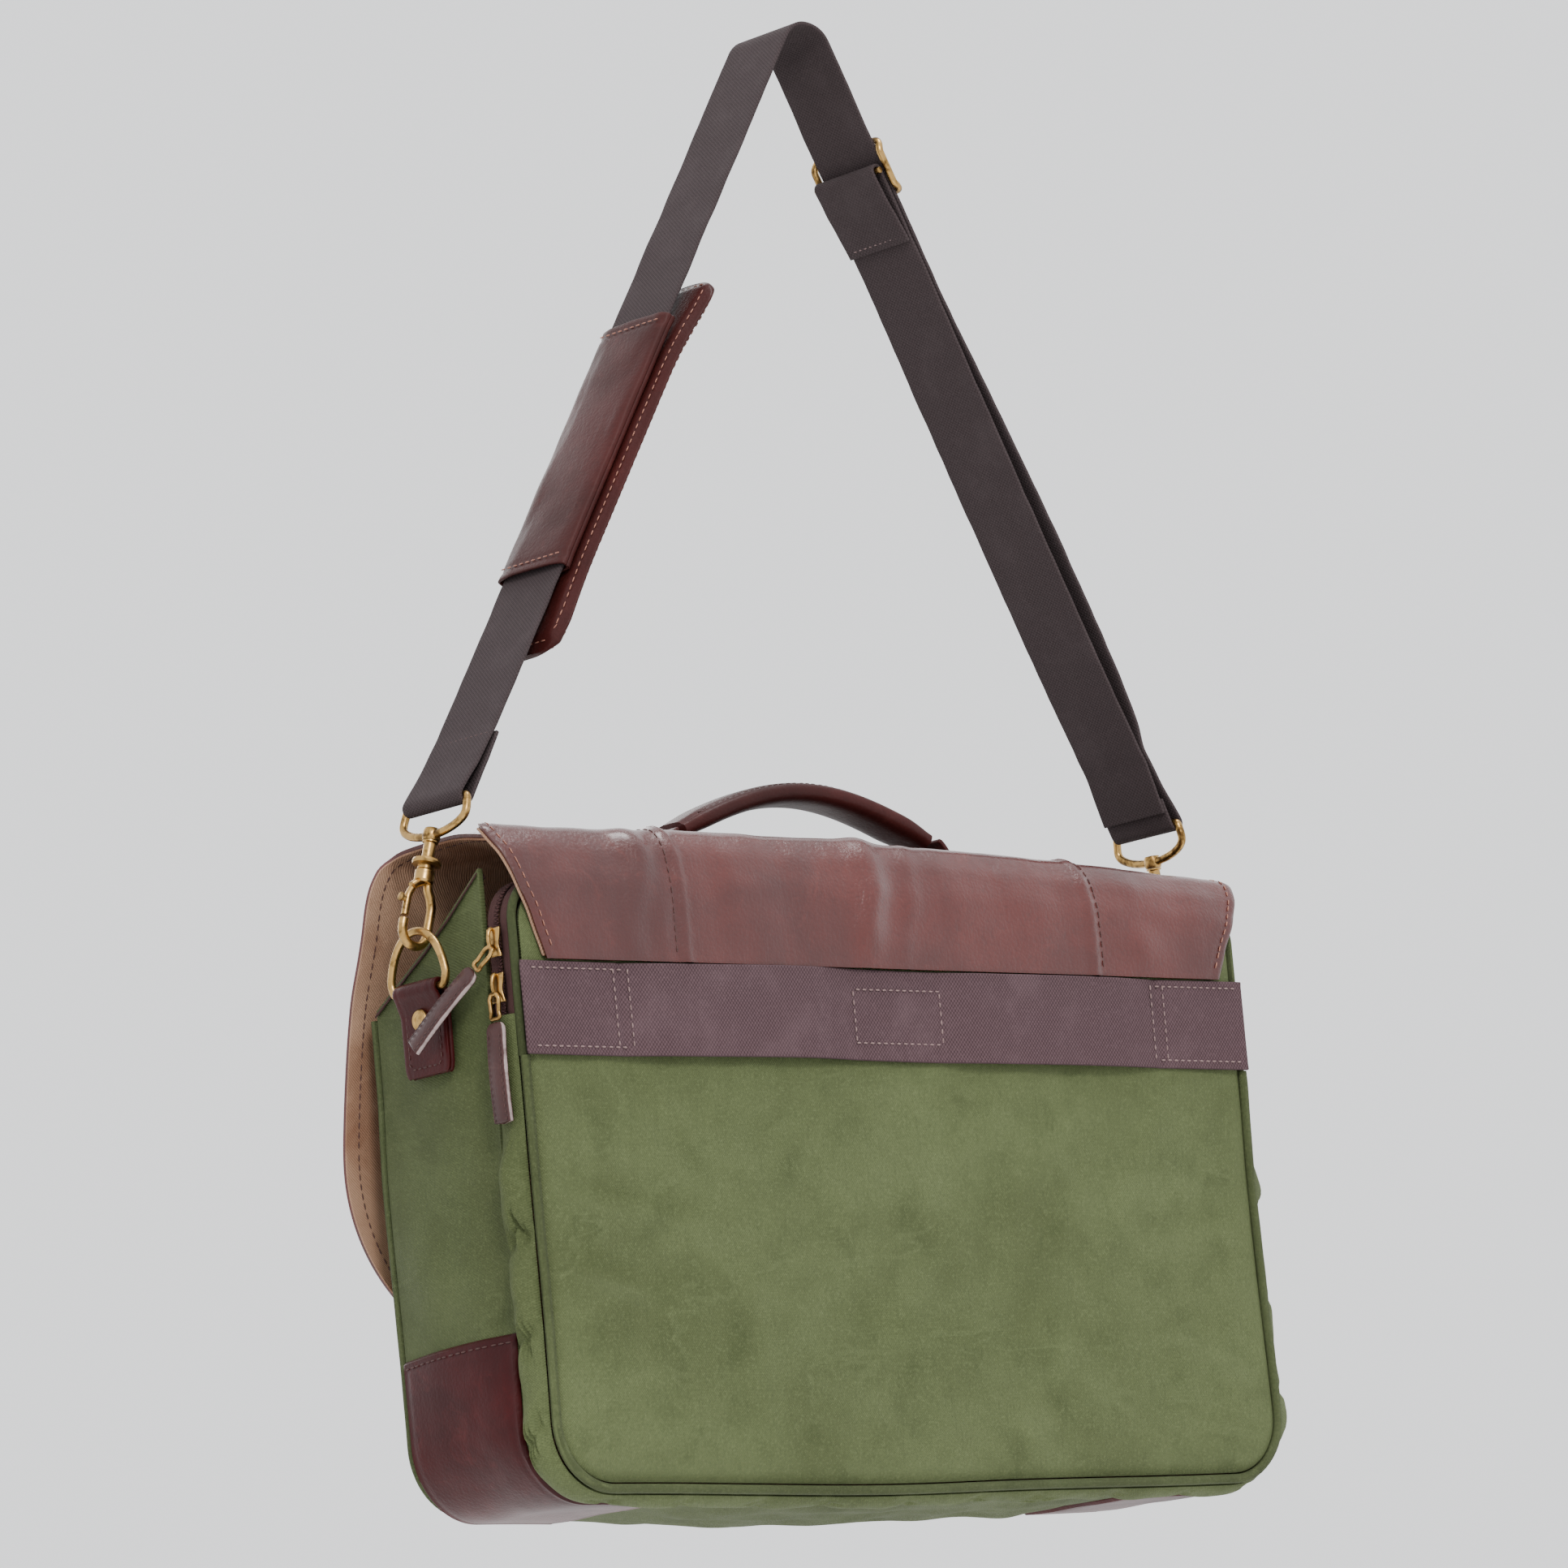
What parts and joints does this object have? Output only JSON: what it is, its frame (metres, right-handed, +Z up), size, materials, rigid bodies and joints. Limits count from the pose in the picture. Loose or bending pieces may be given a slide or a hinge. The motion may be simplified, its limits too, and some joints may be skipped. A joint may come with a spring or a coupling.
{
  "type": "messenger bag",
  "caption": "Canvas and leather messenger bag hanging from a shoulder strap with pad, adjuster, swivel hooks, zipped rear compartment and luggage band.",
  "frame": {"origin": "underside of the crest of the shoulder strap, where a peg or a shoulder carries the bag", "axes": "+Z up, +Y out of the back panel with the luggage band, the flap closes over the front towards -Y, +X towards the side with the zip pulls"},
  "size_m": [0.4502, 0.132, 0.652],
  "materials": {
    "canvas": "matt waxed canvas",
    "leather": "satin pull-up leather",
    "lining": "matt suede-like lining",
    "webbing": "matt woven cotton webbing",
    "brass": "antique brass, worn bright on the edges",
    "zip": "matt woven zip tape",
    "board": "matt stiffener board"
  },
  "bodies": {
    "strap": {"shoulder_strap": "webbing", "hook_eye_left": "brass", "hook_eye_right": "brass"},
    "bag": {"back_panel": "canvas", "back_piping": "canvas", "base_board": "board", "bottom_panel": "canvas", "corner_patch_left": "leather", "corner_patch_right": "leather", "divider_panel": "canvas", "flap_seam_left": "leather", "flap_seam_right": "leather", "flap_top": "leather", "flap_top_lining": "lining", "front_panel": "canvas", "front_piping": "canvas", "front_pocket": "canvas", "gusset_left": "canvas", "gusset_right": "canvas", "handle_tab_left": "leather", "handle_tab_right": "leather", "luggage_band": "webbing", "pocket_floor": "canvas", "pocket_magnet_left": "brass", "pocket_magnet_right": "brass", "rear_gusset": "canvas", "ring_tab_left": "leather", "ring_tab_right": "leather", "tab_rivet_left": "brass", "tab_rivet_right": "brass", "zip_tape_front": "zip", "zip_tape_rear": "zip", "zip_teeth": "brass"},
    "flap": {"flap_front": "leather", "flap_front_lining": "lining", "flap_front_seam_left": "leather", "flap_front_seam_right": "leather", "flap_magnet_left": "brass", "flap_magnet_right": "brass"},
    "handle": {"carry_handle": "leather"},
    "left_ring": {"d_ring_left": "brass"},
    "right_ring": {"d_ring_right": "brass"},
    "left_hook": {"hook_left": "brass", "hook_barrel_left": "brass"},
    "right_hook": {"hook_right": "brass", "hook_barrel_right": "brass"},
    "left_gate": {"hook_gate_left": "brass"},
    "right_gate": {"hook_gate_right": "brass"},
    "pad": {"shoulder_pad": "leather", "pad_sleeve": "leather"},
    "adjuster": {"adjuster_frame": "brass", "adjuster_bar": "brass", "strap_end_fold": "webbing"},
    "upper_slider": {"zip_slider_upper": "brass"},
    "lower_slider": {"zip_slider_lower": "brass"},
    "upper_bail": {"zip_bail_upper": "brass"},
    "lower_bail": {"zip_bail_lower": "brass"},
    "upper_pull": {"zip_tab_upper": "leather"},
    "lower_pull": {"zip_tab_lower": "leather"}
  },
  "joints": [
    {"name": "bag_swing", "type": "hinge", "parent": "strap", "child": "bag", "pos_m": [0.03133, 0, -0.40709], "axis": [1, 0, 0], "range_deg": [-8, 8]},
    {"name": "flap_lift", "type": "hinge", "parent": "bag", "child": "flap", "pos_m": [0.03133, -0.0415, -0.36779], "axis": [-1, 0, 0], "range_deg": [0, 145]},
    {"name": "handle_fold", "type": "hinge", "parent": "bag", "child": "handle", "pos_m": [0.03133, 0, -0.36089], "axis": [1, 0, 0], "range_deg": [-20, 20]},
    {"name": "left_ring_swing", "type": "hinge", "parent": "bag", "child": "left_ring", "pos_m": [0.24633, 0, -0.43209], "axis": [0, 1, 0], "range_deg": [-3, 3]},
    {"name": "left_hook_swivel", "type": "hinge", "parent": "strap", "child": "left_hook", "pos_m": [0.24633, 0, -0.40709], "axis": [-0.309, 0, 0.9511], "range_deg": [-20, 20]},
    {"name": "left_gate_open", "type": "hinge", "parent": "left_hook", "child": "left_gate", "pos_m": [0.24556, 0, -0.38788], "axis": [0, 1, 0], "range_deg": [0, 25], "stiffness_Nm_per_rad": 0.02, "springref_deg": -20.05},
    {"name": "right_ring_swing", "type": "hinge", "parent": "bag", "child": "right_ring", "pos_m": [-0.18367, 0, -0.43209], "axis": [0, 1, 0], "range_deg": [-3, 3]},
    {"name": "right_hook_swivel", "type": "hinge", "parent": "strap", "child": "right_hook", "pos_m": [-0.18367, 0, -0.40709], "axis": [0.1045, 0, 0.9945], "range_deg": [-20, 20]},
    {"name": "right_gate_open", "type": "hinge", "parent": "right_hook", "child": "right_gate", "pos_m": [-0.1869, 0, -0.38814], "axis": [0, -1, 0], "range_deg": [0, 25], "stiffness_Nm_per_rad": 0.02, "springref_deg": -20.05},
    {"name": "pad_slide", "type": "slide", "parent": "strap", "child": "pad", "axis": [-0.5305, 0, 0.8477], "range_m": [-0.04, 0.11]},
    {"name": "adjuster_slide", "type": "slide", "parent": "strap", "child": "adjuster", "axis": [0.4345, 0, 0.9007], "range_m": [0, 0.045]},
    {"name": "upper_slider_slide", "type": "slide", "parent": "bag", "child": "upper_slider", "axis": [0, 0, 1], "range_m": [-0.0055, 0.0025]},
    {"name": "lower_slider_slide", "type": "slide", "parent": "bag", "child": "lower_slider", "axis": [0, 0, 1], "range_m": [-0.005, 0.0055]},
    {"name": "upper_bail_lift", "type": "hinge", "parent": "upper_slider", "child": "upper_bail", "pos_m": [0.24133, 0.0418, -0.42159], "axis": [0, -1, 0], "range_deg": [0, 20]},
    {"name": "upper_pull_sway", "type": "hinge", "parent": "upper_bail", "child": "upper_pull", "pos_m": [0.24411, 0.03538, -0.42801], "axis": [1, 0, 0], "range_deg": [-10, 15]},
    {"name": "lower_bail_lift", "type": "hinge", "parent": "lower_slider", "child": "lower_bail", "pos_m": [0.24133, 0.0418, -0.44059], "axis": [0, -1, 0], "range_deg": [0, 60]},
    {"name": "lower_pull_sway", "type": "hinge", "parent": "lower_bail", "child": "lower_pull", "pos_m": [0.24133, 0.0418, -0.45009], "axis": [1, 0, 0], "range_deg": [-12, 12]}
  ]
}
